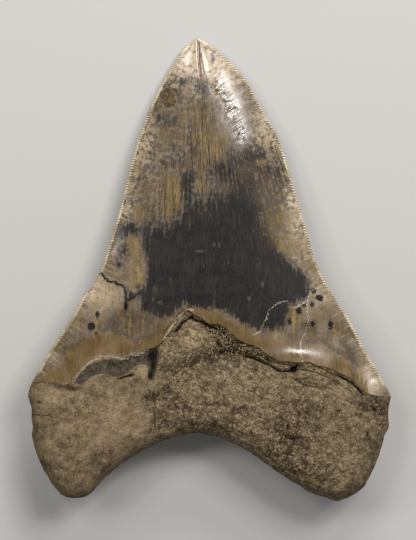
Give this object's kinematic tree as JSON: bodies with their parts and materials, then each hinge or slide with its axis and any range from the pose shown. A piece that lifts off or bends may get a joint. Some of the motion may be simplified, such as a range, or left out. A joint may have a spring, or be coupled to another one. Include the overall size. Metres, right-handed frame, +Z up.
{
  "type": "fossil megalodon tooth",
  "caption": "Large fossil shark tooth with a dark glossy serrated crown, a chipped enamel edge and a rough two-lobed root, lying flat on its rounded inner face",
  "frame": {"origin": "on the surface the tooth lies on, under the middle of its bounding box", "axes": "+X to the right across the tooth as its flat outer face is seen, +Y from the root towards the tip, +Z up from the surface it lies on"},
  "size_m": [0.1104, 0.1398, 0.0288],
  "materials": {
    "fossil_tooth": "polished enamel crown, dry granular root"
  },
  "bodies": {
    "root": {"tooth": "fossil_tooth"}
  },
  "joints": []
}
